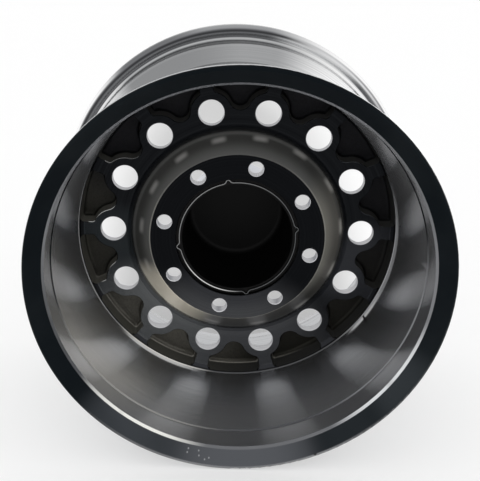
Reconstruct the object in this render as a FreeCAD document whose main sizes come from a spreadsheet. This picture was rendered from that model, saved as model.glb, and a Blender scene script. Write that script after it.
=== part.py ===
import FreeCAD, Part
import math
import os

import Sketcher

# One-piece light-alloy wheel, 16 x 10 inch rim with J flanges and an 8 x 170 mm stud circle, with the
# deep cap that is pushed through its hub bore from the back and the spring wire ring that holds it.
# Frame: spin axis along Y, inboard (back) side towards -Y, +Z up, origin at the middle of the wheel.
# All lengths are in millimetres and all angles in degrees.

DRIVING_SIZES = {
    # Rim contour on the tyre's side
    "seat_diameter": 405.6,
    "rim_width": 254.0,
    "flange_height": 17.3,
    "flange_width": 17.0,
    "flange_curl": 9.5,
    "flange_tip": 3.2,
    "seat_length": 20.0,
    "seat_slope": 5.0,
    "seat_fillet": 6.0,
    "hump_height": 1.3,
    "hump_rise": 4.0,
    "hump_crest": 4.0,
    "hump_fall": 5.0,
    "well_depth": 18.3,
    "well_lead": 16.0,
    "well_ramp": 16.0,
    "well_fillet": 8.0,
    "disc_land_depth": 14.8,
    # Inside of the rim
    "lip_land": 4.3,
    "lip_dish": 10.5,
    "lip_edge_inset": 1.0,
    "lip_chamfer": 2.4,
    "step_place": 40.5,
    "step_wall": 4.6,
    "step_height": 1.2,
    "disc_drop": 20.0,
    "disc_fillet": 7.0,
    "well_wall": 5.5,
    "slope_wall": 5.0,
    "front_wall": 7.5,
    # Disc and hub
    "backspace": 122.0,
    "disc_setback": 26.0,
    "disc_thickness": 26.0,
    "front_fillet": 8.0,
    "hub_pad_diameter": 198.4,
    "hub_pad_edge": 0.8,
    "hub_thickness": 24.0,
    "hub_cone_angle": 45.0,
    "hub_cone_fillet": 10.0,
    "hub_front_inset": 4.8,
    "hub_front_angle": 60.0,
    "hub_front_fillet": 5.0,
    "cap_recess_bore": 140.8,
    "cap_ledge": 5.0,
    "cap_recess_depth": 7.0,
    "recess_edge": 0.6,
    # Round holes in the disc
    "hole_count": 14,
    "hole_inset": 39.3,
    "hole_diameter": 28.8,
    "hole_land": 8.0,
    "hole_mouth_diameter": 43.0,
    "hole_edge": 0.5,
    # Cast pockets between the round holes
    "pocket_depth": 20.0,
    "pocket_draft": 4.0,
    "pocket_floor_fillet": 4.0,
    "pocket_rim_inset": 0.8,
    "pocket_corner": 4.0,
    "pocket_shoulder": 3.5,
    "pocket_apex": 15.5,
    "boss_radius": 23.5,
    "rib_width": 16.0,
    "pocket_edge": 0.6,
    # Stud holes
    "stud_count": 8,
    "stud_circle": 170.0,
    "stud_hole": 16.4,
    "stud_land": 12.0,
    "stud_edge": 0.7,
    "nut_seat_angle": 60.0,
    "nut_seat_diameter": 26.0,
    # Valve hole
    "valve_hole": 11.3,
    "valve_lean": 45.0,
    # Centre cap and its spring ring
    "cap_clearance": 0.4,
    "cap_wall": 2.5,
    "cap_flange_thickness": 3.5,
    "cap_reach": 82.0,
    "cap_draft": 2.6,
    "cap_crown_fillet": 9.0,
    "cap_mouth_fillet": 1.5,
    "cap_edge": 0.5,
    "wire_diameter": 2.0,
    "ring_kink_height": 3.8,
    "ring_kink_tip": 2.4,
    "ring_kink_bend": 5.0,
    "ring_turn": 10.0,
    "groove_depth": 0.8,
    "groove_clearance": 0.2,
}


CHAMFER_ANGLE = 45.0
RING_QUARTERS = 4
PLANE_TOLERANCE = 1e-4
LARGEST_ROUND_SHARE = 0.8


class Size:
    """A length or angle with both its value and the spreadsheet expression that gives it."""

    def __init__(self, value, text):
        self.value = value
        self.text = text

    def join(self, sign, other, value):
        other_text = other.text if isinstance(other, Size) else repr(other)
        return Size(value, "(%s %s %s)" % (self.text, sign, other_text))

    def __add__(self, other):
        return self.join("+", other, self.value + number(other))

    def __sub__(self, other):
        return self.join("-", other, self.value - number(other))

    def __mul__(self, other):
        return self.join("*", other, self.value * number(other))

    def __truediv__(self, other):
        return self.join("/", other, self.value / number(other))

    def __neg__(self):
        return Size(-self.value, "(0 - %s)" % self.text)


def number(item):
    return item.value if isinstance(item, Size) else float(item)


def size(name):
    return Size(float(DRIVING_SIZES[name]), "Sizes." + name)


def tangent(angle):
    return Size(math.tan(math.radians(angle.value)), "tan(%s * 1deg)" % angle.text)


def sine(angle):
    return Size(math.sin(math.radians(angle.value)), "sin(%s * 1deg)" % angle.text)


def cosine(angle):
    return Size(math.cos(math.radians(angle.value)), "cos(%s * 1deg)" % angle.text)


def square_root(area):
    return Size(math.sqrt(area.value), "sqrt(%s)" % area.text)


def smaller(first, second):
    return Size(min(first.value, second.value), "min(%s; %s)" % (first.text, second.text))


AXLE = Size(0.0, "0")


# Document and spreadsheet

doc = FreeCAD.newDocument("car_wheel")
sheet = doc.addObject("Spreadsheet::Sheet", "Sizes")
for row, (name, value) in enumerate(DRIVING_SIZES.items(), start=1):
    sheet.set("A%d" % row, name)
    sheet.set("B%d" % row, str(value))
    sheet.setAlias("B%d" % row, name)
doc.recompute()


# Sketch helpers

def origin_feature(body, role):
    return next(item for item in body.Origin.OriginFeatures if item.Role == role)


def new_sketch(body, name, plane):
    sketch = body.newObject("Sketcher::SketchObject", name)
    sketch.AttachmentSupport = [(origin_feature(body, plane), "")]
    sketch.MapMode = "FlatFace"
    return sketch


def fix(sketch, length, *where):
    """Adds a dimension and ties it to the spreadsheet."""
    index = sketch.addConstraint(Sketcher.Constraint(*where, length.value))
    sketch.setExpression("Constraints[%d]" % index, length.text)


def tangent_points(before, corner, after, radius):
    """Where a round of this radius meets the two sides of a corner, and its centre."""
    to_before = (before - corner).normalize()
    to_after = (after - corner).normalize()
    half_angle = to_before.getAngle(to_after) / 2
    reach = radius / math.tan(half_angle)
    bisector = (to_before + to_after).normalize()
    centre = corner + bisector * (radius / math.sin(half_angle))
    return corner + to_before * reach, corner + to_after * reach, centre


def add_arc(sketch, start, end, centre, radius):
    """Draws the shorter arc about a centre; gives it and whether it runs on counter-clockwise."""
    first = math.atan2(start.y - centre.y, start.x - centre.x)
    last = math.atan2(end.y - centre.y, end.x - centre.x)
    turn = (last - first) % (2 * math.pi)
    forward = turn < math.pi
    if not forward:
        first, last = last, first
    circle = Part.Circle(centre, FreeCAD.Vector(0, 0, 1), radius.value)
    arc = sketch.addGeometry(Part.ArcOfCircle(circle, first, last), False)
    fix(sketch, radius, "Radius", arc)
    return arc, forward


def draw_outline(sketch, corners):
    """Draws a closed outline through (x, y, round) corners, each fully dimensioned from the origin."""
    places = [FreeCAD.Vector(x.value, y.value, 0) for x, y, _ in corners]
    count = len(corners)
    starts = []
    ends = []
    rounds = []
    for i in range(count):
        radius = corners[i][2]
        if radius is None:
            ends.append(places[i])
            starts.append(places[i])
            rounds.append(None)
            continue
        before, after = places[i - 1], places[(i + 1) % count]
        first, last, centre = tangent_points(before, places[i], after, radius.value)
        ends.append(first)
        starts.append(last)
        rounds.append(centre)

    lines = []
    for i in range(count):
        following = (i + 1) % count
        line = Part.LineSegment(starts[i], ends[following])
        lines.append(sketch.addGeometry(line, False))

    for i in range(count):
        incoming, outgoing = lines[i - 1], lines[i]
        x, y, radius = corners[i]
        if radius is None:
            sketch.addConstraint(Sketcher.Constraint("Coincident", incoming, 2, outgoing, 1))
            fix(sketch, y, "DistanceY", -1, 1, outgoing, 1)
            if x is AXLE:
                sketch.addConstraint(Sketcher.Constraint("PointOnObject", outgoing, 1, -2))
            else:
                fix(sketch, x, "DistanceX", -1, 1, outgoing, 1)
            continue
        corner = sketch.addGeometry(Part.Point(places[i]), True)
        fix(sketch, x, "DistanceX", -1, 1, corner, 1)
        fix(sketch, y, "DistanceY", -1, 1, corner, 1)
        sketch.addConstraint(Sketcher.Constraint("PointOnObject", corner, 1, incoming))
        sketch.addConstraint(Sketcher.Constraint("PointOnObject", corner, 1, outgoing))
        arc, forward = add_arc(sketch, ends[i], starts[i], rounds[i], radius)
        near, far = (1, 2) if forward else (2, 1)
        sketch.addConstraint(Sketcher.Constraint("Tangent", incoming, 2, arc, near))
        sketch.addConstraint(Sketcher.Constraint("Tangent", arc, far, outgoing, 1))


def join_smoothly(sketch, chain, closed=True):
    """Joins a chain of (curve, forward) end to end, tangent at each joint."""
    followers = chain[1:] + chain[:1] if closed else chain[1:]
    for (curve, forward), (following, onward) in zip(chain, followers):
        leave = 2 if forward else 1
        enter = 1 if onward else 2
        sketch.addConstraint(Sketcher.Constraint("Tangent", curve, leave, following, enter))


# Feature helpers

def revolve(body, kind, sketch, axis):
    feature = body.newObject("PartDesign::" + kind, sketch.Name + kind)
    feature.Profile = sketch
    feature.ReferenceAxis = axis
    feature.Angle = 360
    doc.recompute()
    return feature


def repeat_about_axle(body, feature, count):
    pattern = body.newObject("PartDesign::PolarPattern", feature.Name + "Pattern")
    pattern.Originals = [feature]
    pattern.Axis = (origin_feature(body, "Y_Axis"), [""])
    pattern.Angle = 360
    pattern.setExpression("Occurrences", count.text)
    body.Tip = pattern
    doc.recompute()
    return pattern


def cut_stepped_hole(body, sketch, centre, steps):
    """Turns a hole about a line at this radius, from (radius, y) steps listed front to back."""
    lowest, highest = steps[-1][1], steps[0][1]
    corners = [(centre, highest, None)]
    corners += [(centre + radius, y, None) for radius, y in steps]
    corners += [(centre, lowest, None)]
    draw_outline(sketch, corners)
    spindle = Part.LineSegment(
        FreeCAD.Vector(centre.value, lowest.value, 0), FreeCAD.Vector(centre.value, highest.value, 0)
    )
    line = sketch.addGeometry(spindle, True)
    sketch.addConstraint(Sketcher.Constraint("Vertical", line))
    fix(sketch, centre, "DistanceX", -1, 1, line, 1)
    fix(sketch, lowest, "DistanceY", -1, 1, line, 1)
    fix(sketch, highest, "DistanceY", -1, 1, line, 2)
    doc.recompute()
    return revolve(body, "Groove", sketch, (sketch, ["Axis0"]))


def edges_at(shape, y):
    """Names of the edges that lie in the plane at this y."""
    names = []
    for index, edge in enumerate(shape.Edges, start=1):
        box = edge.BoundBox
        if abs(box.YMin - y) < PLANE_TOLERANCE and abs(box.YMax - y) < PLANE_TOLERANCE:
            names.append("Edge%d" % index)
    return names


# Places that several sub-parts share

seat_radius = size("seat_diameter") / 2
flange_radius = seat_radius + size("flange_height")
inboard_face = -(size("rim_width") / 2 + size("flange_width"))
outboard_face = size("rim_width") / 2 + size("flange_width")
hub_face = inboard_face + size("backspace")
hub_front = hub_face + size("hub_thickness")
disc_back = hub_face + size("disc_setback")
disc_front = disc_back + size("disc_thickness")
junction_radius = seat_radius - size("disc_drop")
hole_circle = junction_radius - size("hole_inset")
hump_length = size("hump_rise") + size("hump_crest") + size("hump_fall")
well_end = outboard_face - size("flange_width") - size("seat_length") - hump_length - size("well_ramp")
well_radius = seat_radius - size("well_depth")
half_pitch = Size(180.0, "180") / size("hole_count")
recess_floor = hub_face + size("cap_recess_depth")
recess_radius = size("cap_recess_bore") / 2
bore_radius = recess_radius - size("cap_ledge")
groove_radius = recess_radius + size("groove_depth")
wire_radius = size("wire_diameter") / 2
cap_flange_back = recess_floor - size("cap_flange_thickness")
wire_y = cap_flange_back - wire_radius


# Wheel casting

def flange_side(mirror):
    """Tyre-side corners from the flange's outer face to the end of the hump; mirror is -1 inboard."""
    face = inboard_face if mirror < 0 else outboard_face
    seat_end_radius = seat_radius - size("seat_length") * tangent(size("seat_slope"))

    def inward(depth):
        return face - depth if mirror > 0 else face + depth

    wall = size("flange_width")
    flat_wall = size("flange_height") - size("flange_curl")
    seat_round = smaller(size("seat_fillet"), flat_wall * LARGEST_ROUND_SHARE)
    seat_end = wall + size("seat_length")
    crest = seat_end + size("hump_rise")
    crest_end = crest + size("hump_crest")
    hump_radius = seat_end_radius + size("hump_height")
    return [
        (flange_radius - size("lip_land"), face, None),
        (flange_radius, face, size("flange_tip")),
        (flange_radius, inward(wall), size("flange_curl")),
        (seat_radius, inward(wall), seat_round),
        (seat_end_radius, inward(seat_end), None),
        (hump_radius, inward(crest), None),
        (hump_radius, inward(crest_end), None),
        (seat_end_radius - size("hump_height") / 2, inward(crest_end + size("hump_fall")), None),
    ]


def lip_side(mirror):
    """Inner corners of a flange: end of its dished face, then the chamfer down to the barrel."""
    face = inboard_face if mirror < 0 else outboard_face
    edge_radius = seat_radius - size("lip_edge_inset")
    mouth_radius = edge_radius - size("lip_chamfer")
    depth = size("lip_dish")
    deeper = depth + size("lip_chamfer")
    if mirror < 0:
        return [(edge_radius, face + depth, None), (mouth_radius, face + deeper, None)]
    return [(mouth_radius, face - deeper, None), (edge_radius, face - depth, None)]


def wheel_section():
    """Corners of the half section, from the inboard flange round the tyre's side and back inside."""
    step_radius = seat_radius - size("step_wall")
    step_y = inboard_face + size("step_place")
    land_radius = seat_radius - size("disc_land_depth")
    outboard_hump_end = flange_side(1)[-1][1]
    well_start = disc_front + size("well_lead")
    well_inside = well_radius - size("well_wall")
    pad_radius = size("hub_pad_diameter") / 2
    cone_run = size("disc_setback") * tangent(size("hub_cone_angle"))
    front_radius = pad_radius + size("hub_front_inset")
    front_run = (disc_front - hub_front) / tangent(size("hub_front_angle"))
    groove_half = wire_radius + size("groove_clearance")
    groove_back = wire_y - groove_half
    edge = smaller(size("recess_edge"), (groove_back - hub_face) * LARGEST_ROUND_SHARE)

    corners = flange_side(-1)
    corners += [
        (land_radius, disc_back, None),
        (land_radius, disc_front, None),
        (well_radius, well_start, size("well_fillet")),
        (well_radius, well_end, size("well_fillet")),
    ]
    corners += list(reversed(flange_side(1)))
    corners += list(reversed(lip_side(1)))
    corners += [
        (seat_radius - size("front_wall"), outboard_hump_end + size("slope_wall"), None),
        (well_inside, well_end + size("slope_wall"), size("well_fillet")),
        (well_inside, disc_front, size("front_fillet")),
        (front_radius + front_run, disc_front, size("hub_front_fillet")),
        (front_radius, hub_front, size("hub_front_fillet")),
        (bore_radius, hub_front, None),
        (bore_radius, recess_floor, None),
        (recess_radius, recess_floor, None),
        (recess_radius, wire_y + groove_half, None),
        (groove_radius, wire_y + groove_half, None),
        (groove_radius, groove_back, None),
        (recess_radius, groove_back, None),
        (recess_radius, hub_face + edge, None),
        (recess_radius + edge, hub_face, None),
        (pad_radius, hub_face, size("hub_pad_edge")),
        (pad_radius + cone_run, disc_back, size("hub_cone_fillet")),
        (junction_radius, disc_back, size("disc_fillet")),
        (step_radius - size("step_height"), step_y + size("step_height"), None),
        (step_radius, step_y, None),
    ]
    corners += list(reversed(lip_side(-1)))
    return corners


def pocket_outline(sketch, outer, grown):
    """Outline of one pocket about +Z, up to an outer radius, its other walls moved outwards by grown."""
    hole_x = hole_circle * sine(half_pitch)
    hole_z = hole_circle * cosine(half_pitch)
    apex_rise = size("pocket_apex")
    boss = size("boss_radius") - grown
    apex = square_root(hole_x * hole_x + apex_rise * apex_rise) - boss
    rib = size("rib_width") / 2 - grown
    corner = size("pocket_corner") + grown
    shoulder = size("pocket_shoulder") + grown

    turn = math.radians(half_pitch.value)
    along = FreeCAD.Vector(math.sin(turn), math.cos(turn), 0)
    across = FreeCAD.Vector(-math.cos(turn), math.sin(turn), 0)
    hole = FreeCAD.Vector(hole_x.value, hole_z.value, 0)
    axle = FreeCAD.Vector(0, 0, 0)
    apex_centre = FreeCAD.Vector(0, hole.y + apex_rise.value, 0)
    shoulder_run = math.sqrt((boss.value + shoulder.value) ** 2 - (rib.value + shoulder.value) ** 2)
    shoulder_centre = hole + along * shoulder_run + across * (rib.value + shoulder.value)
    corner_run = math.sqrt((outer.value - corner.value) ** 2 - (rib.value + corner.value) ** 2)
    corner_centre = along * corner_run + across * (rib.value + corner.value)

    boss_top = hole + (apex_centre - hole).normalize() * boss.value
    boss_end = hole + (shoulder_centre - hole).normalize() * boss.value
    rib_inner = hole + along * shoulder_run + across * rib.value
    rib_outer = along * corner_run + across * rib.value
    rim_end = corner_centre * (outer.value / corner_centre.Length)

    def flip(point):
        return FreeCAD.Vector(-point.x, point.y, 0)

    def half(side):
        """One half's curves from the apex to the rim; side is the identity or flip."""
        boss_arc = add_arc(sketch, side(boss_top), side(boss_end), side(hole), boss)
        shoulder_arc = add_arc(sketch, side(boss_end), side(rib_inner), side(shoulder_centre), shoulder)
        line = sketch.addGeometry(Part.LineSegment(side(rib_inner), side(rib_outer)), False)
        corner_arc = add_arc(sketch, side(rib_outer), side(rim_end), side(corner_centre), corner)
        return [boss_arc, shoulder_arc, (line, True), corner_arc]

    right = half(lambda point: point)
    left = half(flip)
    rim_arc = add_arc(sketch, rim_end, flip(rim_end), axle, outer)
    apex_arc = add_arc(sketch, flip(boss_top), boss_top, apex_centre, apex)
    backwards = [(index, not forward) for index, forward in reversed(left)]
    join_smoothly(sketch, right + [rim_arc] + backwards + [apex_arc])

    sketch.addConstraint(Sketcher.Constraint("Coincident", rim_arc[0], 3, -1, 1))
    for half_curves, sign in ((right, 1), (left, -1)):
        boss_arc, line = half_curves[0][0], half_curves[2][0]
        fix(sketch, hole_x * sign, "DistanceX", -1, 1, boss_arc, 3)
        fix(sketch, hole_z, "DistanceY", -1, 1, boss_arc, 3)
        fix(sketch, rib, "Distance", -1, 1, line)
        guide = rib_guide(sketch, hole_x * sign, hole_z, rib)
        sketch.addConstraint(Sketcher.Constraint("Tangent", line, guide))


def rib_guide(sketch, hole_x, hole_z, rib):
    """Construction circle about the boss's hole whose tangent is the rib's side."""
    centre = FreeCAD.Vector(hole_x.value, hole_z.value, 0)
    circle = sketch.addGeometry(Part.Circle(centre, FreeCAD.Vector(0, 0, 1), rib.value), True)
    fix(sketch, hole_x, "DistanceX", -1, 1, circle, 3)
    fix(sketch, hole_z, "DistanceY", -1, 1, circle, 3)
    fix(sketch, rib, "Radius", circle)
    return circle


def drafted_pad(body, sketch, length, draft):
    """Pads a sketch towards +Y, its walls leaning inwards by the draft."""
    pad = body.newObject("PartDesign::Pad", sketch.Name + "Pad")
    pad.Profile = sketch
    pad.Reversed = True
    pad.setExpression("Length", length.text)
    pad.setExpression("TaperAngle", (-draft).text)
    doc.recompute()
    return pad


def make_pocket_cores():
    """The fourteen cores that leave the pockets in the back of the disc."""
    body = doc.addObject("PartDesign::Body", "pocket_cores")
    body.AllowCompound = True
    stand_out = size("disc_fillet") + size("pocket_edge")
    start_growth = stand_out * tangent(size("pocket_draft"))
    outline = new_sketch(body, "PocketOutline", "XZ_Plane")
    outline.setExpression("AttachmentOffset.Base.z", (-(disc_back - stand_out)).text)
    rim_radius = junction_radius - size("pocket_rim_inset")
    pocket_outline(outline, rim_radius + start_growth, start_growth)
    doc.recompute()
    drafted_pad(body, outline, stand_out + size("pocket_depth"), size("pocket_draft"))

    edge = size("pocket_edge")
    mouth = new_sketch(body, "PocketMouth", "XZ_Plane")
    mouth.setExpression("AttachmentOffset.Base.z", (-disc_back).text)
    pocket_outline(mouth, junction_radius - size("disc_fillet"), edge)
    doc.recompute()
    core = drafted_pad(body, mouth, edge * 2, Size(CHAMFER_ANGLE, repr(CHAMFER_ANGLE)))

    floor = (disc_back + size("pocket_depth")).value
    rounded = body.newObject("PartDesign::Fillet", "PocketFloorRound")
    rounded.Base = (core, edges_at(core.Shape, floor))
    rounded.setExpression("Radius", size("pocket_floor_fillet").text)
    doc.recompute()

    pattern = body.newObject("PartDesign::PolarPattern", "PocketCorePattern")
    pattern.TransformMode = "Whole shape"
    pattern.Axis = (origin_feature(body, "Y_Axis"), [""])
    pattern.Angle = 360
    pattern.setExpression("Occurrences", size("hole_count").text)
    body.Tip = pattern
    doc.recompute()
    return body


def cut_valve_hole(body):
    """The tyre valve's hole, square through the sloping wall of the outboard barrel, at the bottom."""
    ramp = size("well_ramp")
    wall = size("slope_wall")
    place_radius = well_radius + (ramp - wall) / 2
    place_y = well_end + (ramp + wall) / 2
    sketch = new_sketch(body, "ValveHole", "XZ_Plane")
    sketch.AttachmentOffset = FreeCAD.Placement(
        FreeCAD.Vector(0, -place_radius.value, -place_y.value),
        FreeCAD.Rotation(FreeCAD.Vector(1, 0, 0), size("valve_lean").value)
    )
    sketch.setExpression("AttachmentOffset.Base.y", (-place_radius).text)
    sketch.setExpression("AttachmentOffset.Base.z", (-place_y).text)
    sketch.setExpression("AttachmentOffset.Rotation.Angle", size("valve_lean").text)
    middle = FreeCAD.Vector(0, 0, 0)
    radius = size("valve_hole") / 2
    circle = sketch.addGeometry(Part.Circle(middle, FreeCAD.Vector(0, 0, 1), radius.value), False)
    sketch.addConstraint(Sketcher.Constraint("Coincident", circle, 3, -1, 1))
    fix(sketch, radius, "Radius", circle)
    doc.recompute()

    hole = body.newObject("PartDesign::Pocket", "ValveHolePocket")
    hole.Profile = sketch
    hole.Midplane = True
    hole.setExpression("Length", (ramp * 2).text)
    body.Tip = hole
    doc.recompute()


def make_wheel():
    body = doc.addObject("PartDesign::Body", "wheel")
    section = new_sketch(body, "WheelSection", "XY_Plane")
    draw_outline(section, wheel_section())
    doc.recompute()
    revolve(body, "Revolution", section, (origin_feature(body, "Y_Axis"), [""]))

    pockets = body.newObject("PartDesign::Boolean", "CastPockets")
    pockets.Type = "Cut"
    pockets.setObjects([make_pocket_cores()])
    body.Tip = pockets
    doc.recompute()

    overrun = size("hole_edge") * 2
    hole_radius = size("hole_diameter") / 2
    mouth_radius = size("hole_mouth_diameter") / 2
    hole_sketch = new_sketch(body, "RoundHole", "XY_Plane")
    hole = cut_stepped_hole(body, hole_sketch, hole_circle, [
        (mouth_radius, disc_front + overrun),
        (mouth_radius, disc_front),
        (hole_radius, disc_back + size("hole_land")),
        (hole_radius, disc_back + size("hole_edge")),
        (hole_radius + size("hole_edge"), disc_back),
        (hole_radius + size("hole_edge"), disc_back - overrun),
    ])
    repeat_about_axle(body, hole, size("hole_count"))

    stud_radius = size("stud_hole") / 2
    seat_mouth = size("nut_seat_diameter") / 2
    seat_bottom = hub_face + size("stud_land")
    seat_run = (seat_mouth - stud_radius) / tangent(size("nut_seat_angle") / 2)
    stud_sketch = new_sketch(body, "StudHole", "XY_Plane")
    stud_sketch.AttachmentOffset = FreeCAD.Placement(
        FreeCAD.Vector(0, 0, 0), FreeCAD.Rotation(FreeCAD.Vector(0, 1, 0), half_pitch.value)
    )
    stud_sketch.setExpression("AttachmentOffset.Rotation.Angle", half_pitch.text)
    stud = cut_stepped_hole(body, stud_sketch, size("stud_circle") / 2, [
        (seat_mouth, hub_front + overrun),
        (seat_mouth, seat_bottom + seat_run),
        (stud_radius, seat_bottom),
        (stud_radius, hub_face + size("stud_edge")),
        (stud_radius + size("stud_edge"), hub_face),
        (stud_radius + size("stud_edge"), hub_face - overrun),
    ])
    repeat_about_axle(body, stud, size("stud_count"))
    cut_valve_hole(body)
    return body


# Centre cap

def cap_section():
    """Corners of the cap's half section: straight where it passes the hub bore, then drafted."""
    base_radius = recess_radius - size("cap_clearance")
    outside = bore_radius - size("cap_clearance")
    wall = size("cap_wall")
    crown = hub_front + size("cap_reach")
    narrowing = size("cap_reach") * tangent(size("cap_draft"))
    return [
        (AXLE, crown, None),
        (AXLE, crown - wall, None),
        (outside - narrowing - wall, crown - wall, size("cap_crown_fillet") - wall),
        (outside - wall, hub_front, None),
        (outside - wall, cap_flange_back, size("cap_mouth_fillet")),
        (base_radius, cap_flange_back, size("cap_edge")),
        (base_radius, recess_floor, size("cap_edge")),
        (outside, recess_floor, None),
        (outside, hub_front, None),
        (outside - narrowing, crown, size("cap_crown_fillet")),
    ]


def make_cap():
    body = doc.addObject("PartDesign::Body", "centre_cap")
    section = new_sketch(body, "CapSection", "XY_Plane")
    draw_outline(section, cap_section())
    doc.recompute()
    revolve(body, "Revolution", section, (origin_feature(body, "Y_Axis"), [""]))
    return body


# Spring ring

def ring_path(sketch, kink_radius):
    """A quarter of the wire's centre line, from the tip of one outward kink to the tip of the next."""
    tip = size("ring_kink_tip")
    main = kink_radius - size("ring_kink_height")
    tip_middle = kink_radius - tip
    bend = size("ring_kink_bend")
    bend_reach = main.value + bend.value
    cosine_of_bend = (bend_reach ** 2 + tip_middle.value ** 2 - (bend.value + tip.value) ** 2)
    cosine_of_bend /= 2 * tip_middle.value * bend_reach
    bend_angle = math.acos(cosine_of_bend)

    axle = FreeCAD.Vector(0, 0, 0)
    tip_centre = FreeCAD.Vector(tip_middle.value, 0, 0)
    tip_start = FreeCAD.Vector(tip_middle.value + tip.value, 0, 0)
    towards_main = FreeCAD.Vector(math.cos(bend_angle), math.sin(bend_angle), 0)
    bend_centre = towards_main * bend_reach
    tip_end = tip_centre + (bend_centre - tip_centre).normalize() * tip.value
    main_start = towards_main * main.value

    def swap_axes(point):
        return FreeCAD.Vector(point.y, point.x, 0)

    chain = [
        add_arc(sketch, tip_start, tip_end, tip_centre, tip),
        add_arc(sketch, tip_end, main_start, bend_centre, bend),
        add_arc(sketch, main_start, swap_axes(main_start), axle, main),
        add_arc(sketch, swap_axes(main_start), swap_axes(tip_end), swap_axes(bend_centre), bend),
        add_arc(sketch, swap_axes(tip_end), swap_axes(tip_start), swap_axes(tip_centre), tip),
    ]
    join_smoothly(sketch, chain, closed=False)
    first, middle, last = chain[0][0], chain[2][0], chain[4][0]
    sketch.addConstraint(Sketcher.Constraint("Coincident", middle, 3, -1, 1))
    sketch.addConstraint(Sketcher.Constraint("PointOnObject", first, 3, -1))
    sketch.addConstraint(Sketcher.Constraint("PointOnObject", first, 1, -1))
    sketch.addConstraint(Sketcher.Constraint("PointOnObject", last, 3, -2))
    sketch.addConstraint(Sketcher.Constraint("PointOnObject", last, 2, -2))
    fix(sketch, tip_middle, "DistanceX", -1, 1, first, 3)
    fix(sketch, tip_middle, "DistanceY", -1, 1, last, 3)
    return len(chain)


def make_spring_ring():
    body = doc.addObject("PartDesign::Body", "cap_spring_ring")
    kink_radius = groove_radius - wire_radius - size("cap_clearance")
    path = new_sketch(body, "RingPath", "XZ_Plane")
    path.setExpression("AttachmentOffset.Base.z", (-wire_y).text)
    pieces = ring_path(path, kink_radius)
    doc.recompute()

    wire = new_sketch(body, "WireSection", "XY_Plane")
    middle = FreeCAD.Vector(kink_radius.value, wire_y.value, 0)
    circle = wire.addGeometry(Part.Circle(middle, FreeCAD.Vector(0, 0, 1), wire_radius.value), False)
    fix(wire, kink_radius, "DistanceX", -1, 1, circle, 3)
    fix(wire, wire_y, "DistanceY", -1, 1, circle, 3)
    fix(wire, wire_radius, "Radius", circle)
    doc.recompute()

    quarter = body.newObject("PartDesign::AdditivePipe", "RingQuarter")
    quarter.Profile = wire
    quarter.Spine = (path, ["Edge%d" % (i + 1) for i in range(pieces)])
    doc.recompute()
    repeat_about_axle(body, quarter, Size(float(RING_QUARTERS), repr(RING_QUARTERS)))
    body.Placement = FreeCAD.Placement(
        FreeCAD.Vector(0, 0, 0), FreeCAD.Rotation(FreeCAD.Vector(0, -1, 0), size("ring_turn").value)
    )
    body.setExpression("Placement.Rotation.Angle", size("ring_turn").text)
    return body


# Build, check and write

def check_document():
    for item in doc.Objects:
        if "Invalid" in item.State or "Error" in item.State:
            raise RuntimeError("%s did not build" % item.Label)


def write_part(body):
    shape = body.Shape
    if shape.isNull() or not shape.isValid() or len(shape.Solids) != 1:
        raise RuntimeError("%s is not one valid solid" % body.Label)
    print(body.Label, "volume in cubic centimetres: %.2f" % (shape.Volume / 1000))
    shape.exportStep("parts/%s.step" % body.Label)


sub_parts = [make_wheel(), make_cap(), make_spring_ring()]
doc.recompute()
check_document()
os.makedirs("parts", exist_ok=True)
for sub_part in sub_parts:
    write_part(sub_part)
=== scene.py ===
import math
from collections import namedtuple

import bpy
from mathutils import Euler, Matrix

# Inboard side of a wide one-piece alloy car wheel, standing on a white studio floor.
# The wheel's axis is Y, its inboard face looks towards -Y and +Z is up.
# Directions round the axle are in degrees: 0 is right and 90 is up, as seen from the inboard side.

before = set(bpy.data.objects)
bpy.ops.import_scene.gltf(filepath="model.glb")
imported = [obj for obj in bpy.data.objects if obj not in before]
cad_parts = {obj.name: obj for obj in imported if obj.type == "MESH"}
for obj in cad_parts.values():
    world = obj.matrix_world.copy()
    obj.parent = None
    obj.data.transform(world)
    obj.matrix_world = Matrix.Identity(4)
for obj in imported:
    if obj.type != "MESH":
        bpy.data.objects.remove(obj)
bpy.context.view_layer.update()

MM = 0.001

# Wheel sizes in millimetres, with depths measured from the inboard face
HALF_WIDTH = 144.0
FLANGE_RADIUS = 220.1
LIP_INNER_RADIUS = 201.8
LIP_DEPTH = 10.5
CHAMFER_RADIUS = 199.4
CHAMFER_DEPTH = 12.9
DISC_BACK_DEPTH = 148.0
DISC_FRONT_DEPTH = 174.0
JUNCTION_RADIUS = 175.8
JUNCTION_FILLET = 7.0
JUNCTION_DEPTH = DISC_BACK_DEPTH - JUNCTION_FILLET
POCKET_FLOOR_DEPTH = 168.0
POCKET_EDGE = 0.7
HUB_PAD_DEPTH = 122.0
HUB_FRONT_DEPTH = 146.0
HUB_CONE_END_RADIUS = 130.0
RECESS_RADIUS = 71.5
TYRE_SIDE_RADIUS = 183.4
HOLE_CIRCLE_RADIUS = 143.5
HOLE_COUNT = 14
HOLE_MOUTH_RADIUS = 21.6
STUD_CIRCLE_RADIUS = 85.0
STUD_COUNT = 8
STUD_MOUTH_RADIUS = 13.2
STUD_TURN = -math.pi / HOLE_COUNT
TOLERANCE = 0.12

# Limits for a face's normal: its part along the axle, or outwards from it
SQUARE = 0.99
SLANTED = 0.05
STEP_SLOPE = 0.5
POCKET_EDGE_SLOPES = (0.4, 0.95)
POCKET_DRAFT = 0.01
CAP_DRAFT = 0.1

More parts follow.
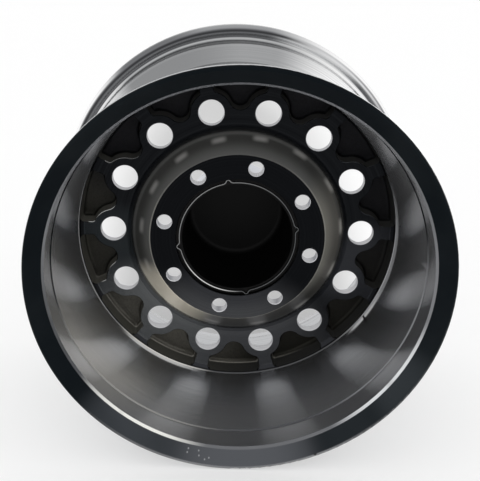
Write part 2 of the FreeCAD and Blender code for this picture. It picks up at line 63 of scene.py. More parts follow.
# Where one finish passes into the next: radius or depth in mm at which it starts, and is full
LIP_LAND_RADII = (215.2, 216.6)
JUNCTION_LINE_DEPTHS = (144.8, 143.6)
BARREL_MOUTH_DEPTHS = (110.0, 40.0)
CONE_DEPTHS = (147.2, 141.0)
CONE_TOP_RADII = (114.0, 100.0)
POCKET_WALL_DEPTHS = (167.0, 162.5)
POCKET_OUTER_RADII = (164.0, 167.0)
HUB_PAD_RADII = (72.0, 96.0)
SEAT_TO_WALL_RADII = (206.2, 207.4)
WALL_TO_FLANGE_RADII = (215.6, 217.8)

# Rings of painted light and shade on the finishes: radius or depth of the middle, and half width, in mm
CONE_SPOTS_RING = (114.8, 4.2)
CONE_FOOT_RING = (119.0, 2.8)
PAD_EDGE_RING = (99.8, 0.9)
POCKET_FOOT_RING = (165.2, 2.2)
SEAT_HUMP_RING = (204.8, 1.4)
SEAT_CORNER_RING = (206.8, 1.2)
FLANGE_HOLLOW_RING = (214.0, 2.8)

# The cone's spots are painted reflections of the round holes. In mm: how far the middle of their circle lies
# to the right of the axle, and how far above the axle the point lies from which each spot is in line with its
# hole
SPOTS_SHIFT = 5.0
SPOTS_RISE = 10.0

# Painted glints at the barrel's foot: degrees and their spread, depth and its half width, and colour
FOOT_PAINTED_GLINTS = (
    (352, 34, 139.0, 8.0, "b6b7b9"),
    (327, 12, 139.0, 7.0, "f4f4f4"),
    (240, 21, 140.0, 6.0, "fafaf8"),
)

# Wear: degrees round the axle and radius, and the size in mm; the core is the share of it that is full
LIP_SCUFFS = (
    (255.8, 208.7), (255.9, 205.4), (259.1, 205.5), (259.4, 209.5), (261.2, 211.9), (262.4, 210.1),
)
LIP_SCUFF_SIZE = 1.2
LIP_NICK = (293.5, 217.0, 2.4)
FOOT_NICK = (326.0, 184.1, 2.2)
NICK_CORE = 0.3

# Sizes of the patterns in mm; the two grains are finer on the real surfaces and are drawn coarse to show
LIP_SMEAR = 90.0
EDGE_WEAR = 33.0
CAST_GRAIN = 1.8
PLASTIC_GRAIN = 1.2
CHROME_WAVE = 40.0

# Sockets of the colour mixing node, whose names aren't unique
MIX_FIRST, MIX_SECOND, MIX_RESULT = 6, 7, 2

# An input that goes smoothly from low to high while a value goes from start to full
Fade = namedtuple("Fade", "value start full low high", defaults=(0.0, 1.0))


def linear(hex_colour):
    """A linear RGBA colour from an sRGB hex value."""
    channels = []
    for start in (0, 2, 4):
        value = int(hex_colour[start:start + 2], 16) / 255
        channels.append(value / 12.92 if value <= 0.04045 else ((value + 0.055) / 1.055) ** 2.4)
    return (*channels, 1.0)


def feed(tree, node, inputs):
    """Sets a node's inputs: each is a value, a hex colour, the socket that feeds it or a fade."""
    for key, value in inputs.items():
        if isinstance(value, Fade):
            ranges = {
                "Value": value.value, "From Min": value.start, "From Max": value.full,
                "To Min": value.low, "To Max": value.high,
            }
            value = add(tree, "ShaderNodeMapRange", ranges, interpolation_type="SMOOTHSTEP").outputs["Result"]
        if isinstance(value, bpy.types.NodeSocket):
            tree.links.new(value, node.inputs[key])
        elif isinstance(value, str):
            node.inputs[key].default_value = linear(value)
        else:
            node.inputs[key].default_value = value


def add(tree, kind, inputs=None, **settings):
    """Adds a node with its settings and inputs."""
    node = tree.nodes.new(kind)
    for name, value in settings.items():
        setattr(node, name, value)
    feed(tree, node, inputs or {})
    return node


def new_material(name):
    """An empty node material with its Principled shader, and that shader."""
    material = bpy.data.materials.new(name)
    material.use_nodes = True
    tree = material.node_tree
    tree.nodes.clear()
    shader = add(tree, "ShaderNodeBsdfPrincipled")
    add(tree, "ShaderNodeOutputMaterial", {"Surface": shader.outputs["BSDF"]})
    return material, tree, shader


def surface(tree, shader, tone, metallic, roughness, relief=None):
    """Feeds a shader; its relief, if it has one, is a height, a strength and a depth in mm."""
    feed(tree, shader, {"Base Color": tone, "Metallic": metallic, "Roughness": roughness})
    if relief:
        height, strength, depth_mm = relief
        bump = add(
            tree, "ShaderNodeBump", {"Height": height, "Strength": strength, "Distance": depth_mm * MM}
        )
        feed(tree, shader, {"Normal": bump.outputs["Normal"]})


def wheel_coordinates(tree):
    """Sockets for the place on the wheel: distance from the axle and depth in mm, and the place itself."""
    place = add(tree, "ShaderNodeTexCoord").outputs["Object"]
    parts = add(tree, "ShaderNodeSeparateXYZ", {0: place}).outputs
    flat = add(tree, "ShaderNodeCombineXYZ", {"X": parts["X"], "Z": parts["Z"]})
    length = add(tree, "ShaderNodeVectorMath", {0: flat.outputs[0]}, operation="LENGTH")
    radius = add(tree, "ShaderNodeMath", {0: length.outputs["Value"], 1: 1 / MM}, operation="MULTIPLY")
    depth = add(
        tree, "ShaderNodeMath", {0: parts["Y"], 1: 1 / MM, 2: HALF_WIDTH}, operation="MULTIPLY_ADD"
    )
    return {
        "radius": radius.outputs[0], "depth": depth.outputs[0],
        "place": place, "flat": flat.outputs[0], "parts": parts,
    }


def round_peak(tree, where, degrees, spread):
    """1 in one direction from the axle, falling to 0 at a spread of so many degrees to either side."""
    turn = math.radians(degrees)
    direction = (math.cos(turn) / MM, 0.0, math.sin(turn) / MM)
    along = add(tree, "ShaderNodeVectorMath", {0: where["place"], 1: direction}, operation="DOT_PRODUCT")
    cosine = add(
        tree, "ShaderNodeMath", {0: along.outputs["Value"], 1: where["radius"]}, operation="DIVIDE"
    )
    return Fade(cosine.outputs[0], math.cos(math.radians(spread)), 1.0)


def ring_line(tree, place_mm, middle_mm, half_width_mm):
    """1 at one radius or depth, falling to 0 at a half width to either side."""
    gap = add(tree, "ShaderNodeMath", {0: place_mm, 1: middle_mm}, operation="SUBTRACT")
    away = add(tree, "ShaderNodeMath", {0: gap.outputs[0]}, operation="ABSOLUTE")
    return Fade(away.outputs[0], half_width_mm, 0.0)


def hole_sectors(tree, where, rise_mm):
    """1 in line with each round hole and 0 between them, seen from a point this far above the axle."""
    parts = where["parts"]
    height = add(tree, "ShaderNodeMath", {0: parts["Z"], 1: rise_mm * MM}, operation="SUBTRACT")
    angle = add(tree, "ShaderNodeMath", {0: height.outputs[0], 1: parts["X"]}, operation="ARCTAN2")
    turned = add(tree, "ShaderNodeMath", {0: angle.outputs[0], 1: HOLE_COUNT}, operation="MULTIPLY")
    swing = add(tree, "ShaderNodeMath", {0: turned.outputs[0]}, operation="COSINE")
    return Fade(swing.outputs[0], start=0.1, full=1.0)


def nick(tree, where, degrees, radius_mm, size_mm):
    """1 inside a small mark at one place on the wheel, and 0 outside it."""
    turn = math.radians(degrees)
    middle = (radius_mm * MM * math.cos(turn), 0.0, radius_mm * MM * math.sin(turn))
    gap = add(tree, "ShaderNodeVectorMath", {0: where["flat"], 1: middle}, operation="DISTANCE")
    return Fade(gap.outputs["Value"], start=size_mm * MM, full=NICK_CORE * size_mm * MM)


def along_grooves(tree, where):
    """The direction round the wheel, in which the lathe's grooves run."""
    parts = where["parts"]
    back = add(tree, "ShaderNodeMath", {0: parts["X"], 1: -1.0}, operation="MULTIPLY")
    node = add(tree, "ShaderNodeCombineXYZ", {"X": parts["Z"], "Z": back.outputs[0]})
    return node.outputs[0]


def turning_marks(tree, place_mm, spacing_mm):
    """Noise that changes only across a lathe's or a die's grooves; place_mm is the radius or the depth.

    Real grooves are a few tenths of a millimetre apart, too fine to show, so these are coarser.
    """
    rings = add(
        tree, "ShaderNodeTexNoise", {"W": place_mm, "Scale": 1 / spacing_mm, "Detail": 2.0},
        noise_dimensions="1D",
    )
    return rings.outputs["Fac"]


def layered(tree, base, *layers):
    """A base colour with others laid over it, each as far as its mask goes from 0 to 1."""
    tone = base
    for mask, colour in layers:
        mix = add(
            tree, "ShaderNodeMix", {"Factor": mask, MIX_FIRST: tone, MIX_SECOND: colour}, data_type="RGBA"
        )
        tone = mix.outputs[MIX_RESULT]
    return tone


def toned(tree, where, base, *tones):
    """A base colour with tones laid over it, each with its direction from the axle, spread and colour."""
    layers = [(round_peak(tree, where, degrees, spread), colour) for degrees, spread, colour in tones]
    return layered(tree, base, *layers)


def black_toned_lip():
    """Turned and polished aluminium lip: black face on, with painted highlights: grey at the bottom, lighter
    at the lower left and lower right, and an outer land lighter at the bottom.
    """
    material, tree, shader = new_material("polished_aluminium_lip")
    where = wheel_coordinates(tree)
    # Painted highlights: lighter stretches at the bottom, lower left and lower right on the black base
    tone = toned(
        tree, where, "13171a",
        (272, 29, "54565a"), (238, 20, "3e4145"), (305, 14, "24282b"), (326, 14, "313538"),
    )
    # Painted highlight: the outer land is lighter at the bottom
    land_with_highlight = toned(tree, where, tone, (270, 50, "8b8c8e"))
    cloud = add(
        tree, "ShaderNodeTexNoise", {"Vector": where["place"], "Scale": 1 / (LIP_SMEAR * MM), "Detail": 4.0}
    ).outputs["Fac"]
    tone = layered(
        tree, tone,
        (Fade(where["radius"], *LIP_LAND_RADII), land_with_highlight),
        (Fade(cloud, start=0.4, full=0.75, high=0.35), "262a2c"),
    )
    for degrees, radius_mm in LIP_SCUFFS:
        tone = layered(tree, tone, (nick(tree, where, degrees, radius_mm, LIP_SCUFF_SIZE), "8d8e90"))
    tone = layered(tree, tone, (nick(tree, where, *LIP_NICK), "0c0d0e"))
    roughness = Fade(cloud, start=0.3, full=0.8, low=0.14, high=0.28)
    marks = turning_marks(tree, where["radius"], spacing_mm=2.0)
    surface(tree, shader, tone, metallic=1.0, roughness=roughness, relief=(marks, 0.04, 0.2))
    return material


def bright_edge():
    """Bare polished aluminium on the lip's inner edge: a grey line with painted highlights, lighter at the
    top, right and bottom, and two long bright painted glints below.
    """
    material, tree, shader = new_material("polished_aluminium_edge")
    where = wheel_coordinates(tree)
    # Painted highlights: lighter at the top, right and bottom, and two bright glints at the lower left and
    # lower right
    tone = toned(
        tree, where, "4b4c4e",
        (90, 115, "a8a9ab"), (275, 75, "6a6b6e"), (5, 40, "7c7d80"), (238, 24, "eeede8"), (324, 24, "dadcde"),
    )
    wear_and_highlight = add(
        tree, "ShaderNodeTexNoise", {"Vector": where["place"], "Scale": 1 / (EDGE_WEAR * MM), "Detail": 2.0}
    ).outputs["Fac"]
    tone = layered(tree, tone, (Fade(wear_and_highlight, start=0.5, full=0.75, high=0.3), "77787a"))
    surface(tree, shader, tone, metallic=1.0, roughness=0.2)
    return material


def soft_edge():
    """Turned aluminium on the small step in the barrel, where it only just catches the light; its lighter
    stretches at the bottom, lower right and lower left are painted highlights.
    """
    material, tree, shader = new_material("turned_aluminium_soft_edge")
    where = wheel_coordinates(tree)
    # Painted highlights at the bottom, lower right and lower left on a dark base
    tone = toned(tree, where, "1b1c1e", (270, 110, "4c4d50"), (335, 40, "7a7b7d"), (230, 40, "8f8e8b"))
    surface(tree, shader, tone, metallic=1.0, roughness=0.25)
    return material


def junction_metal():
    """Turned fillet between disc and barrel: dark, lighter at the bottom, and its first strip is a light line
    round the barrel; the lighter bottom and the light line are painted highlights.
    """
    material, tree, shader = new_material("turned_aluminium_junction")
    where = wheel_coordinates(tree)
    # Painted highlights: the fillet lighter at the bottom, and a light line along its first strip, brightest
    # at the right, left and lower left
    tone = toned(tree, where, "121315", (268, 75, "303134"))
    painted_line = toned(tree, where, "5c5d5f", (345, 36, "b8b9bb"), (190, 40, "9a9b9c"), (241, 22, "f4f2ec"))
    on_line = Fade(where["depth"], *JUNCTION_LINE_DEPTHS)
    tone = layered(tree, tone, (on_line, painted_line))
    metallic = Fade(on_line, start=0.0, full=1.0, low=1.0, high=0.5)
    surface(tree, shader, tone, metallic, roughness=0.25)
    return material


def pocket_edge_metal():
    """Turned aluminium where it breaks into the pockets: thin dim lines with painted highlights, lighter at
    the bottom, right and lower left, and bright where it faces up at the left.
    """
    material, tree, shader = new_material("turned_aluminium_pocket_edge")
    where = wheel_coordinates(tree)
    # Painted highlights at the bottom, right and lower left
    tone = toned(tree, where, "1c1d1f", (268, 75, "343538"), (5, 70, "4c4d4f"), (233, 26, "8d8c88"))
    normal = add(tree, "ShaderNodeNewGeometry").outputs["Normal"]
    up = Fade(add(tree, "ShaderNodeSeparateXYZ", {0: normal}).outputs["Z"], start=0.2, full=0.6)
    # Painted highlight where the edge faces up on the left side
    left = round_peak(tree, where, degrees=182, spread=50)
    lit = add(tree, "ShaderNodeMath", {0: left, 1: up}, operation="MULTIPLY").outputs[0]
    tone = layered(tree, tone, (lit, "a4a4a2"))
    metallic = Fade(lit, start=0.0, full=1.0, low=1.0, high=0.7)
    surface(tree, shader, tone, metallic, roughness=0.22)
    return material


def barrel_metal():
    """Turned aluminium of the deep barrel: its grooves smear each bright hole into a long patch; it is
    lighter towards the mouth, with a painted highlight at the lower left and painted glints at its foot.
    """
    material, tree, shader = new_material("turned_aluminium_barrel")
    where = wheel_coordinates(tree)
    depth = where["depth"]
    marks = turning_marks(tree, depth, spacing_mm=2.4)
    near_lip = Fade(depth, *BARREL_MOUTH_DEPTHS)
    # Painted highlight: the barrel is lighter at the lower left, most of all towards the mouth
    lower_left_highlight = layered(tree, "d0d1d3", (near_lip, "e2e2e3"))
    tone = layered(
        tree, "b8b9bc",
        (near_lip, "d2d3d6"),
        (round_peak(tree, where, degrees=232, spread=44), lower_left_highlight),
        (Fade(marks, start=0.3, full=0.7, high=0.3), "8e8f92"),
    )
    hazy_side = round_peak(tree, where, degrees=228, spread=33)
    haze = add(tree, "ShaderNodeMath", {0: near_lip, 1: hazy_side}, operation="MULTIPLY").outputs[0]
    metallic = Fade(haze, start=0.0, full=1.0, low=1.0, high=0.92)
    # Painted glints: bright strips round the barrel's foot on one side each, less metallic so they take up
    # more light
    for degrees, spread, depth_mm, half_width, colour in FOOT_PAINTED_GLINTS:
        strip = ring_line(tree, depth, depth_mm, half_width)
        side = round_peak(tree, where, degrees, spread)
        glint = add(tree, "ShaderNodeMath", {0: strip, 1: side}, operation="MULTIPLY").outputs[0]
        tone = layered(tree, tone, (glint, colour))
        duller = Fade(glint, start=0.0, full=1.0, low=1.0, high=0.5)
        metallic = add(tree, "ShaderNodeMath", {0: metallic, 1: duller}, operation="MINIMUM").outputs[0]
    tone = layered(tree, tone, (nick(tree, where, *FOOT_NICK), "060606"))
    surface(tree, shader, tone, metallic, roughness=0.205)
    grooves = along_grooves(tree, where)
    feed(tree, shader, {"Anisotropic": 1.0, "Anisotropic Rotation": 0.25, "Tangent": grooves})
    return material


def cone_tone(tree, where):
    """Satin tones of the hub's cone with painted highlights: lighter at the bottom, right and towards the
    pad, light rings at its foot and at the pad's edge, a soft painted reflection before each round hole and a
    painted highlight at the lower left.
    """
    radius = where["radius"]
    right = round_peak(tree, where, degrees=358, spread=46)
    # The soft spots are painted reflections of the round holes
    middle = (SPOTS_SHIFT * MM, 0.0, 0.0)
    away = add(tree, "ShaderNodeVectorMath", {0: where["flat"], 1: middle}, operation="DISTANCE")
    away_mm = add(tree, "ShaderNodeMath", {0: away.outputs["Value"], 1: 1 / MM}, operation="MULTIPLY")
    across = ring_line(tree, away_mm.outputs[0], *CONE_SPOTS_RING)
    sectors = hole_sectors(tree, where, SPOTS_RISE)
    hole_reflection_spots = add(tree, "ShaderNodeMath", {0: sectors, 1: across}, operation="MULTIPLY").outputs[0]
    # Painted highlights: lighter towards the pad and at the right and bottom, light rings at the foot and the
    # pad's edge, and a bright patch at the lower left
    top = layered(tree, "575755", (right, "807e76"))
    pad_edge = toned(tree, where, "98968f", (95, 80, "5a5a58"))
    reflection_spot_tone = layered(tree, "7c7b78", (right, "a4a29c"))
    return layered(
        tree, "343432",
        (round_peak(tree, where, degrees=275, spread=44), "4e4e4d"),
        (right, "605e59"),
        (Fade(radius, *CONE_TOP_RADII), top),
        (ring_line(tree, radius, *CONE_FOOT_RING), "4e4e4c"),
        (ring_line(tree, radius, *PAD_EDGE_RING), pad_edge),
        (hole_reflection_spots, reflection_spot_tone),
        (round_peak(tree, where, degrees=226, spread=30), "e0d9c9"),
    )


def disc_metal():
    """Faced aluminium: the disc's back is nearly black and glossy, with painted highlights at the bottom,
    right, left and lower left; the hub's cone is lighter and satin.
    """
    material, tree, shader = new_material("faced_aluminium_disc")
    where = wheel_coordinates(tree)
    marks = turning_marks(tree, where["radius"], spacing_mm=2.4)
    # Painted highlights on the disc's back at the bottom, right, left and lower left
    face = toned(
        tree, where, "121315",
        (272, 52, "48494b"), (342, 26, "2c2d30"), (186, 22, "222527"), (230, 37, "565859"),
    )
    face = layered(tree, face, (Fade(marks, start=0.35, full=0.7, high=0.2), "2a2c2e"))
    on_cone = Fade(where["depth"], *CONE_DEPTHS)
    tone = layered(tree, face, (on_cone, cone_tone(tree, where)))
    metallic = Fade(on_cone, start=0.0, full=1.0, low=1.0, high=0.82)
    roughness = Fade(on_cone, start=0.0, full=1.0, low=0.2, high=0.3)
    surface(tree, shader, tone, metallic, roughness, relief=(marks, 0.05, 0.2))
    return material


def cast_pocket():
    """Sand-cast aluminium left as cast in the pockets: brownish black, rough and grainy, walls duller;
    lighter stretches at the bottom and left and a light line at the foot of the outer wall are painted
    highlights.
    """
    material, tree, shader = new_material("cast_aluminium_pocket")
    where = wheel_coordinates(tree)
    grain = add(
        tree, "ShaderNodeTexNoise",
        {"Vector": where["place"], "Scale": 1 / (CAST_GRAIN * MM), "Detail": 4.0, "Roughness": 0.7},
    ).outputs["Fac"]
    # Painted highlights: floor and walls lighter at the bottom and towards the left
    floor = toned(tree, where, "202022", (270, 110, "2e2d29"), (186, 34, "383733"), (238, 42, "5e5c56"))
    wall = toned(tree, where, "242423", (205, 75, "43423d"))
    on_wall = Fade(where["depth"], *POCKET_WALL_DEPTHS)
    tone = layered(tree, floor, (on_wall, wall))
    # Painted highlight: a light line at the foot of the outer wall, brightest at the lower left
    wear_and_highlight = toned(tree, where, tone, (245, 60, "a09d95"))
    foot = ring_line(tree, where["depth"], *POCKET_FOOT_RING)
    outside = Fade(where["radius"], *POCKET_OUTER_RADII)
    foot_line = add(tree, "ShaderNodeMath", {0: foot, 1: outside}, operation="MULTIPLY").outputs[0]
    tone = layered(
        tree, tone,
        (foot_line, wear_and_highlight),
        (Fade(grain, start=0.4, full=0.8, high=0.5), "0c0c0b"),
    )
    metallic = Fade(on_wall, start=0.0, full=1.0, low=1.0, high=0.3)
    surface(tree, shader, tone, metallic, roughness=0.55, relief=(grain, 0.5, 0.4))
    return material


def hub_pad_metal():
    """Faced aluminium hub pad: black with faint lathe rings, greyer below as a painted highlight."""
    material, tree, shader = new_material("faced_aluminium_hub_pad")
    where = wheel_coordinates(tree)
    marks = turning_marks(tree, where["radius"], spacing_mm=1.8)
    # Painted highlight: the pad is greyer at the bottom, more so towards its outer edge
    lower_highlight = layered(tree, "343538", (Fade(where["radius"], *HUB_PAD_RADII), "454648"))
    tone = toned(tree, where, "101113", (264, 62, lower_highlight))
    tone = layered(tree, tone, (Fade(marks, start=0.4, full=0.7, high=0.2), "202224"))
    surface(tree, shader, tone, metallic=1.0, roughness=0.25, relief=(marks, 0.05, 0.2))
    return material


def drilled_wall():
    """Drilled and countersunk hole walls: clean bright aluminium with a soft sheen."""
    material, tree, shader = new_material("drilled_aluminium")
    where = wheel_coordinates(tree)
    marks = turning_marks(tree, where["depth"], spacing_mm=1.5)
    tone = layered(tree, "c4c4c6", (Fade(marks, start=0.3, full=0.7), "adadb0"))
    surface(tree, shader, tone, metallic=0.7, roughness=0.42)
    return material


def tyre_side_metal():
    """Polished aluminium on the tyre's side: silver, with painted reflections, white towards both sides and
    darker near the top, a light line on the hump, and dark lines in its corner and hollow that are painted
    shade.
    """
    material, tree, shader = new_material("turned_aluminium_tyre_side")
    where = wheel_coordinates(tree)
    radius = where["radius"]
    # Painted reflections: each band is white towards both sides and darker near the top, with a light line on
    # the hump
    seat = toned(tree, where, "9fa0a1", (118, 30, "8a8b8c"))
    seat = layered(tree, seat, (ring_line(tree, radius, *SEAT_HUMP_RING), "b2b3b4"))
    seat = toned(tree, where, seat, (40, 38, "fcfcfc"), (150, 20, "f0f0f0"))
    wall = toned(tree, where, "6a6b6d", (62, 19, "c8c9ca"))
    flange = toned(tree, where, "98999b", (122, 22, "6c6d6f"), (40, 42, "fcfcfc"), (152, 22, "fcfcfc"))
    # Painted shade: dark lines at the seat's corner and in the flange's hollow, light towards the upper right
    corner_shade = toned(tree, where, "3c3d3f", (45, 36, "e6e6e6"))
    hollow_shade = toned(tree, where, "18191b", (50, 26, "e0e0e1"))
    marks = turning_marks(tree, where["depth"], spacing_mm=2.0)
    tone = layered(
        tree, seat,
        (Fade(radius, *SEAT_TO_WALL_RADII), wall),
        (Fade(radius, *WALL_TO_FLANGE_RADII), flange),
        (ring_line(tree, radius, *SEAT_CORNER_RING), corner_shade),
        (ring_line(tree, radius, *FLANGE_HOLLOW_RING), hollow_shade),
        (Fade(marks, start=0.3, full=0.7, high=0.25), "88898c"),
    )
    surface(tree, shader, tone, metallic=1.0, roughness=0.2)
    return material


def front_metal():
    """Polished aluminium of the street side: bright, with faint lathe rings."""
    material, tree, shader = new_material("polished_aluminium_front")
    where = wheel_coordinates(tree)
    along = add(tree, "ShaderNodeMath", {0: where["radius"], 1: where["depth"]}, operation="ADD")
    marks = turning_marks(tree, along.outputs[0], spacing_mm=2.0)
    tone = layered(tree, "bebfc1", (Fade(marks, start=0.3, full=0.7), "b0b1b3"))
    surface(tree, shader, tone, metallic=1.0, roughness=0.2, relief=(marks, 0.03, 0.2))
    return material


def bore_metal():
    """Turned aluminium of the recess and bore round the cap: dark, with a soft sheen."""
    material, tree, shader = new_material("turned_aluminium_bore")
    where = wheel_coordinates(tree)
    marks = turning_marks(tree, where["depth"], spacing_mm=1.5)
    tone = layered(tree, "1c1d1f", (Fade(marks, start=0.3, full=0.7), "2c2d2f"))
    surface(tree, shader, tone, metallic=1.0, roughness=0.35)
    return material


def moulded_plastic():
    """Black ABS cap: moulded, satin, almost no light comes back out of it."""
    material, tree, shader = new_material("moulded_abs_black")
    place = add(tree, "ShaderNodeTexCoord").outputs["Object"]
    grain = add(
        tree, "ShaderNodeTexNoise", {"Vector": place, "Scale": 1 / (PLASTIC_GRAIN * MM), "Detail": 3.0}
    ).outputs["Fac"]
    tone = layered(tree, "020202", (Fade(grain, start=0.35, full=0.75), "040404"))
    surface(tree, shader, tone, metallic=0.0, roughness=0.5, relief=(grain, 0.15, 0.1))
    feed(tree, shader, {"Specular IOR Level": 0.1})
    return material


def drawn_wire():
    """Drawn spring steel wire: a thin bright painted highlight along its crest at the left, and painted shade
    that makes it dark elsewhere.
    """
    material, tree, shader = new_material("drawn_spring_steel")
    where = wheel_coordinates(tree)
    streaks = turning_marks(tree, where["radius"], spacing_mm=0.5)
    # Painted highlight: lighter on the left, brightest at the lower left
    crest_highlight = toned(tree, where, "545556", (150, 130, "868686"), (238, 38, "f4f4f2"))
    normal = add(tree, "ShaderNodeNewGeometry").outputs["Normal"]
    back = add(tree, "ShaderNodeSeparateXYZ", {0: normal}).outputs["Y"]
    # Painted shade: darker wherever the wire's surface turns away from the inboard side
    tone = layered(
        tree, crest_highlight,
        (Fade(back, start=-0.98, full=-0.7, high=0.9), "161718"),
        (Fade(streaks, start=0.3, full=0.7, high=0.3), "606162"),
    )
    surface(tree, shader, tone, metallic=1.0, roughness=0.24)
    return material


def chrome_plate():
    """Chrome plating on the cap's street side: a clear bright mirror with a slight waviness."""
    material, tree, shader = new_material("chrome_plated_abs")
    place = add(tree, "ShaderNodeTexCoord").outputs["Object"]
    wave = add(tree, "ShaderNodeTexNoise", {"Vector": place, "Scale": 1 / (CHROME_WAVE * MM)}).outputs["Fac"]
    tone = layered(tree, "b3b6be", (wave, "a8abb4"))
    surface(tree, shader, tone, metallic=1.0, roughness=0.08, relief=(wave, 0.05, 1.0))
    return material


def nearest_hole_distance(x, z, circle_radius, count, turn):
    """How far a place in the wheel's plane lies from the axis of the nearest hole of a circle."""
    pitch = 2 * math.pi / count
    angle = math.atan2(z, x) - turn
    nearest = turn + round(angle / pitch) * pitch
    return math.hypot(x - circle_radius * math.cos(nearest), z - circle_radius * math.sin(nearest))


def wheel_zone(centre, normal):
    """The finish of one face of the wheel, from where it lies and which way it looks."""
    x, z = centre.x / MM, centre.z / MM
    depth = centre.y / MM + HALF_WIDTH
    radius = math.hypot(x, z)
    outwards = (normal.x * x + normal.z * z) / max(radius, 1.0)

    if radius > CHAMFER_RADIUS and depth < LIP_DEPTH + TOLERANCE and normal.y < -SLANTED:
        return "lip"
    at_chamfer = LIP_DEPTH - TOLERANCE < depth < CHAMFER_DEPTH + TOLERANCE
    if outwards < 0 and at_chamfer and radius < LIP_INNER_RADIUS:
        return "edge"
    facing_middle = normal.y * (HALF_WIDTH - depth) > 0
    if radius > TYRE_SIDE_RADIUS and (outwards > SLANTED or (radius > LIP_INNER_RADIUS and facing_middle)):
        return "tyre_side"
    if radius > JUNCTION_RADIUS and depth < JUNCTION_DEPTH:
        return "soft_edge" if normal.y < -STEP_SLOPE else "barrel"

    is_wall = abs(normal.y) < SQUARE
    in_disc = DISC_BACK_DEPTH < depth < DISC_FRONT_DEPTH
    in_hub = HUB_PAD_DEPTH < depth < HUB_FRONT_DEPTH
    from_hole = nearest_hole_distance(x, z, HOLE_CIRCLE_RADIUS, HOLE_COUNT, 0.0)
    from_stud = nearest_hole_distance(x, z, STUD_CIRCLE_RADIUS, STUD_COUNT, STUD_TURN)
    if from_hole < HOLE_MOUTH_RADIUS and in_disc and is_wall:
        return "drilled"
    in_fillet = radius > JUNCTION_RADIUS - JUNCTION_FILLET and depth < DISC_BACK_DEPTH - TOLERANCE
    if in_fillet and outwards < -SLANTED:
        return "junction"
    if radius < RECESS_RADIUS and in_hub:
        return "bore"
    if from_stud < STUD_MOUTH_RADIUS and in_hub and is_wall:
        return "drilled"

    if normal.y < -SQUARE and abs(depth - HUB_PAD_DEPTH) < TOLERANCE:
        return "hub_pad"
    if depth < DISC_BACK_DEPTH + TOLERANCE:
        return "front" if normal.y > SLANTED else "disc"
    least_slope, most_slope = POCKET_EDGE_SLOPES
    if depth < DISC_BACK_DEPTH + POCKET_EDGE and least_slope < -normal.y < most_slope:
        return "pocket_edge"
    above_floor = depth < POCKET_FLOOR_DEPTH + TOLERANCE
    if above_floor and radius > HUB_CONE_END_RADIUS and normal.y < POCKET_DRAFT:
        return "pocket"
    return "front"


def dress_wheel():
    """Gives each face of the wheel the finish of its zone."""
    finishes = {
        "lip": black_toned_lip(),
        "edge": bright_edge(),
        "soft_edge": soft_edge(),
        "junction": junction_metal(),
        "pocket_edge": pocket_edge_metal(),
        "barrel": barrel_metal(),
        "disc": disc_metal(),
        "pocket": cast_pocket(),
        "hub_pad": hub_pad_metal(),
        "bore": bore_metal(),
        "drilled": drilled_wall(),
        "tyre_side": tyre_side_metal(),
        "front": front_metal(),
    }
    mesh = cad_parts["wheel"].data
    mesh.materials.clear()
    slots = {}
    for zone, material in finishes.items():
        mesh.materials.append(material)
        slots[zone] = len(mesh.materials) - 1
    for face in mesh.polygons:
        face.material_index = slots[wheel_zone(face.center, face.normal)]


def dress_cap():
    """Black inside and on the base flange, chrome on the side that shows at the wheel's front."""
    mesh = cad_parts["centre_cap"].data
    mesh.materials.clear()
    mesh.materials.append(moulded_plastic())
    mesh.materials.append(chrome_plate())
    for face in mesh.polygons:
        centre, normal = face.center, face.normal
        outwards = normal.x * centre.x + normal.z * centre.z
        outer_wall = outwards > 0 and abs(normal.y) <= CAP_DRAFT
        face.material_index = 1 if normal.y > CAP_DRAFT or outer_wall else 0


def dress_ring():
    """Gives the spring ring its wire."""
    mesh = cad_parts["cap_spring_ring"].data
    mesh.materials.clear()
    mesh.materials.append(drawn_wire())


# Studio, with the floor's size in metres and the key light's spread and height in degrees

FLOOR_SIZE = 30.0
KEY_STRENGTH = 6.4
KEY_SPREAD = 8.0
KEY_HEIGHT = 12.0
AMBIENT = 0.66


def make_floor():
    """A wide matt white floor under the wheel."""
    bpy.ops.object.select_all(action="DESELECT")
    bpy.ops.mesh.primitive_plane_add(size=FLOOR_SIZE, location=(0, 0, -FLANGE_RADIUS * MM))
    floor = bpy.context.object
    floor.name = "studio_floor"
    material, tree, shader = new_material("white_studio_floor")
    feed(tree, shader, {"Base Color": "f6f6f6", "Roughness": 0.9, "Specular IOR Level": 0.1})
    floor.data.materials.append(material)


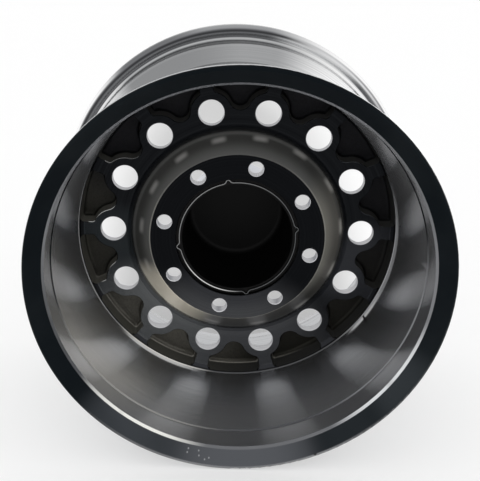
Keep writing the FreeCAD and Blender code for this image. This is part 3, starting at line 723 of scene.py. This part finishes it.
def make_world():
    """White to the camera and in reflections, and a softer white as light."""
    world = bpy.data.worlds.new("studio")
    bpy.context.scene.world = world
    world.use_nodes = True
    tree = world.node_tree
    tree.nodes.clear()
    path = add(tree, "ShaderNodeLightPath").outputs
    seen = path["Is Camera Ray"]
    for kind in ("Is Glossy Ray", "Is Transmission Ray"):
        seen = add(tree, "ShaderNodeMath", {0: seen, 1: path[kind]}, operation="MAXIMUM").outputs[0]
    strength = add(tree, "ShaderNodeMapRange", {"Value": seen, "To Min": AMBIENT, "To Max": 1.0})
    light = add(tree, "ShaderNodeBackground", {"Color": "ffffff", "Strength": strength.outputs[0]})
    add(tree, "ShaderNodeOutputWorld", {"Surface": light.outputs[0]})


def make_key_light():
    """A soft key from the camera's side, low enough that the wheel's shadow falls behind it."""
    data = bpy.data.lights.new("key", "SUN")
    data.energy = KEY_STRENGTH
    data.angle = math.radians(KEY_SPREAD)
    lamp = bpy.data.objects.new("key", data)
    bpy.context.scene.collection.objects.link(lamp)
    lamp.rotation_euler = (math.radians(90 - KEY_HEIGHT), 0, 0)
    lamp.visible_glossy = False


# Camera, fitted to the photograph: place in mm, angles in degrees, focal length and offset in pixels

IMAGE_HEIGHT = 481
SENSOR_MM = 36.0
CAMERA_PLACE_MM = (-25.9, -979.5, 370.3)
CAMERA_YAW = -0.358
CAMERA_PITCH = 17.838
CAMERA_ROLL = 0.923
FOCAL_PIXELS = 903.8
OFFSET_PIXELS = (-29.9, -54.4)


def make_camera():
    """The sensor's width spans the image's longer side, which is its height."""
    data = bpy.data.cameras.new("camera")
    data.sensor_width = SENSOR_MM
    data.lens = FOCAL_PIXELS * SENSOR_MM / IMAGE_HEIGHT
    data.shift_x = -OFFSET_PIXELS[0] / IMAGE_HEIGHT
    data.shift_y = OFFSET_PIXELS[1] / IMAGE_HEIGHT
    camera = bpy.data.objects.new("camera", data)
    bpy.context.scene.collection.objects.link(camera)
    camera.location = [value * MM for value in CAMERA_PLACE_MM]
    aim = Euler((math.radians(90 - CAMERA_PITCH), 0, math.radians(-CAMERA_YAW))).to_matrix()
    roll = Matrix.Rotation(math.radians(CAMERA_ROLL), 3, "Z")
    camera.rotation_euler = (aim @ roll).to_euler()
    bpy.context.scene.camera = camera


dress_wheel()
dress_cap()
dress_ring()
make_floor()
make_world()
make_key_light()
make_camera()
bpy.context.scene.view_settings.view_transform = "Standard"
